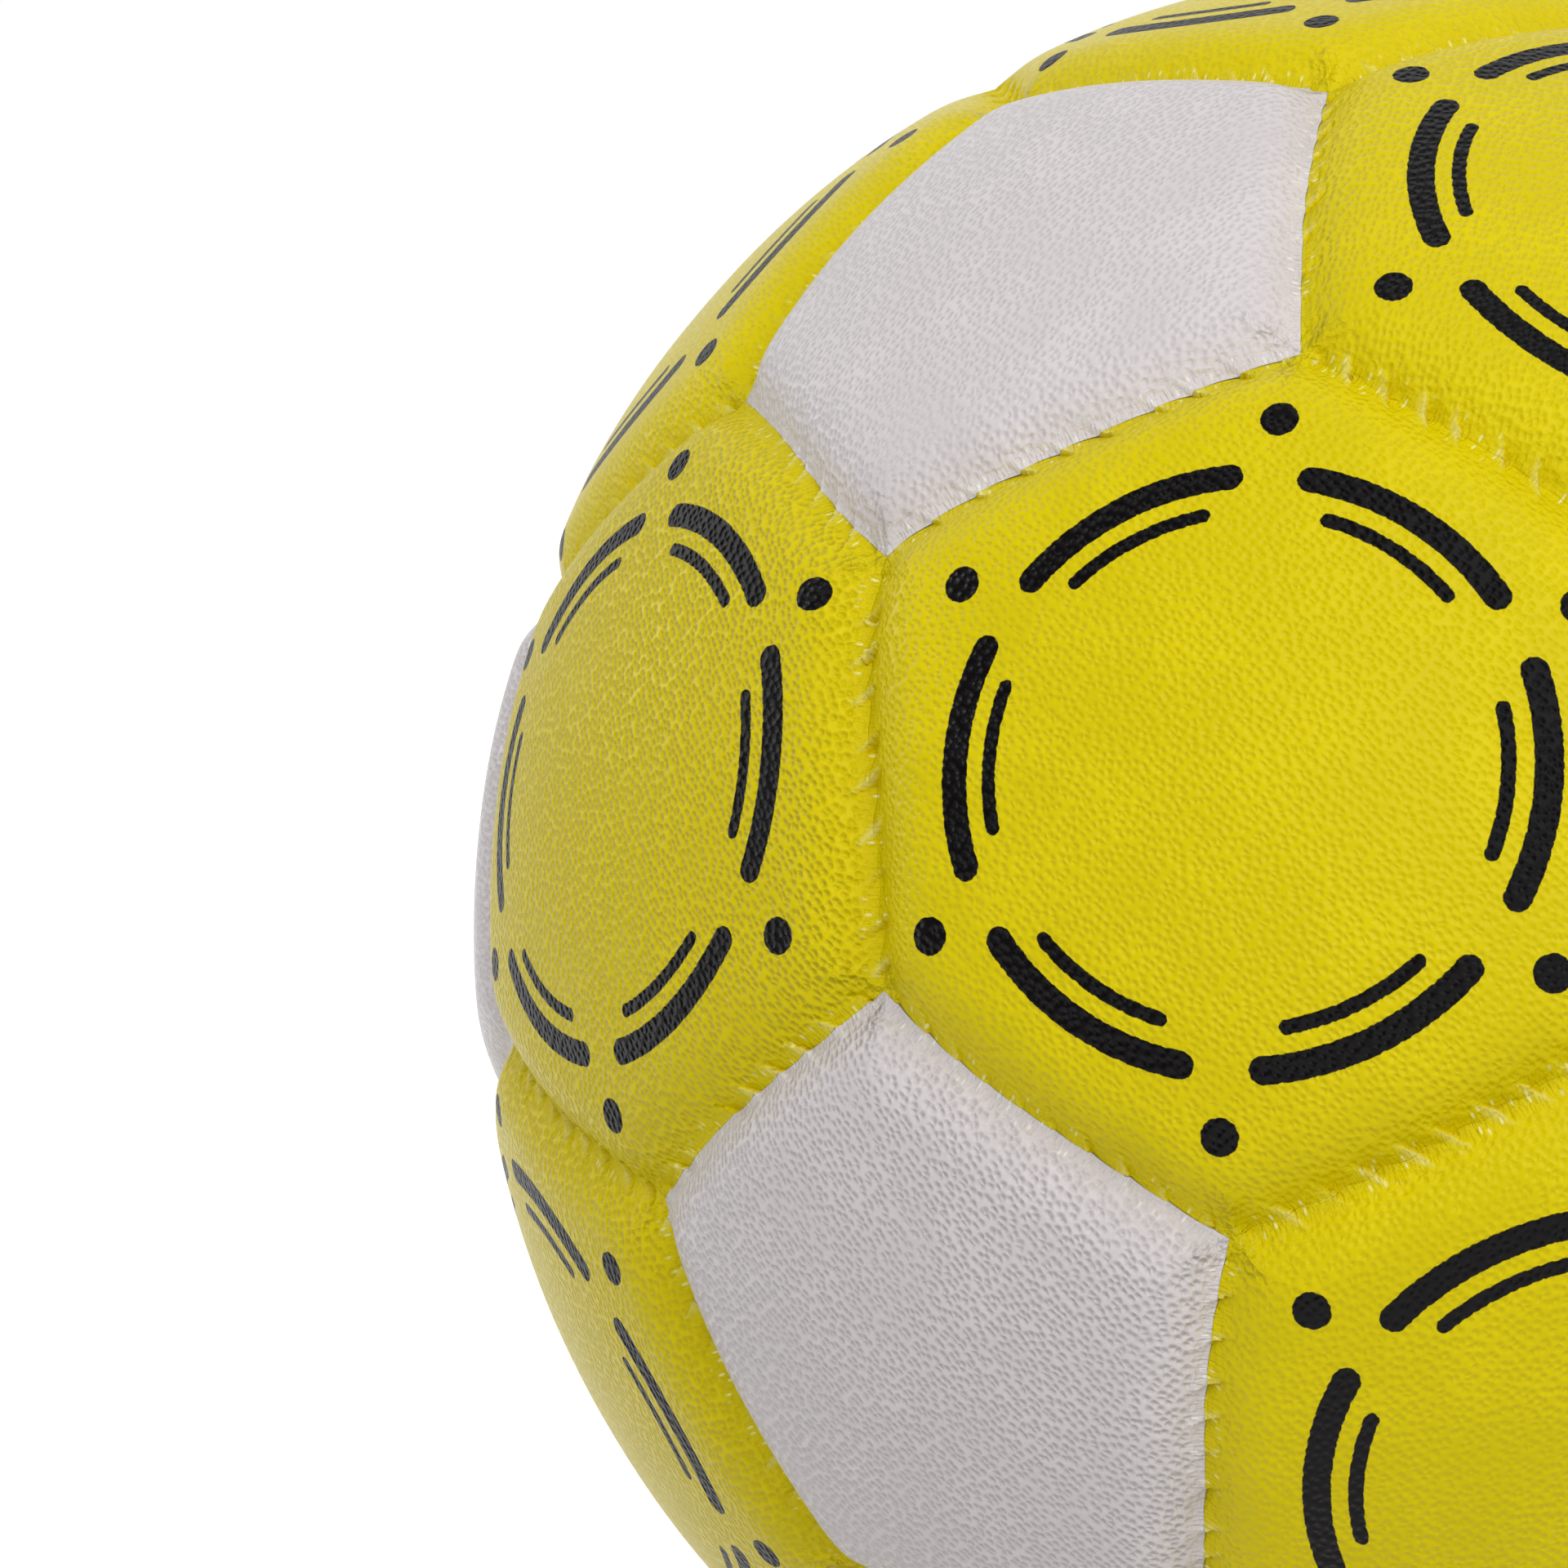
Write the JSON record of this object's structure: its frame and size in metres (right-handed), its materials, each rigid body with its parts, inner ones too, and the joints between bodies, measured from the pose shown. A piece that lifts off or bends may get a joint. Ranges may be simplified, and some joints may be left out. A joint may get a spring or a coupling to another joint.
{
  "type": "handball",
  "caption": "Hand-stitched handball with crowned yellow hexagon and white pentagon panels, sewn seams and a needle valve.",
  "frame": {"origin": "centre of the ball", "axes": "+Z out along the valve's needle hole, -Y over the middle of the nearest front pentagon panel (pentagon_panel_01)"},
  "size_m": [0.1876, 0.1878, 0.1877],
  "materials": {
    "yellow_skin": "grained, satin",
    "white_skin": "grained, satin",
    "foam": "matte",
    "lining": "matte",
    "thread": "waxed",
    "bladder_rubber": "matte",
    "valve_rubber": "matte",
    "valve_core_rubber": "satin"
  },
  "bodies": {
    "root": {"valve_panel": "yellow_skin", "hexagon_panel_01": "yellow_skin", "hexagon_panel_02": "yellow_skin", "hexagon_panel_03": "yellow_skin", "hexagon_panel_04": "yellow_skin", "hexagon_panel_05": "yellow_skin", "hexagon_panel_06": "yellow_skin", "hexagon_panel_07": "yellow_skin", "hexagon_panel_08": "yellow_skin", "hexagon_panel_09": "yellow_skin", "hexagon_panel_10": "yellow_skin", "hexagon_panel_11": "yellow_skin", "hexagon_panel_12": "yellow_skin", "hexagon_panel_13": "yellow_skin", "hexagon_panel_14": "yellow_skin", "hexagon_panel_15": "yellow_skin", "hexagon_panel_16": "yellow_skin", "hexagon_panel_17": "yellow_skin", "hexagon_panel_18": "yellow_skin", "hexagon_panel_19": "yellow_skin", "pentagon_panel_01": "white_skin", "pentagon_panel_02": "white_skin", "pentagon_panel_03": "white_skin", "pentagon_panel_04": "white_skin", "pentagon_panel_05": "white_skin", "pentagon_panel_06": "white_skin", "pentagon_panel_07": "white_skin", "pentagon_panel_08": "white_skin", "pentagon_panel_09": "white_skin", "pentagon_panel_10": "white_skin", "pentagon_panel_11": "white_skin", "pentagon_panel_12": "white_skin", "hexagon_foam_pads": "foam", "pentagon_foam_pads": "foam", "hexagon_linings": "lining", "pentagon_linings": "lining", "seam_thread": "thread", "bladder": "bladder_rubber", "valve_boot": "valve_rubber", "valve_core": "valve_core_rubber"}
  },
  "joints": []
}
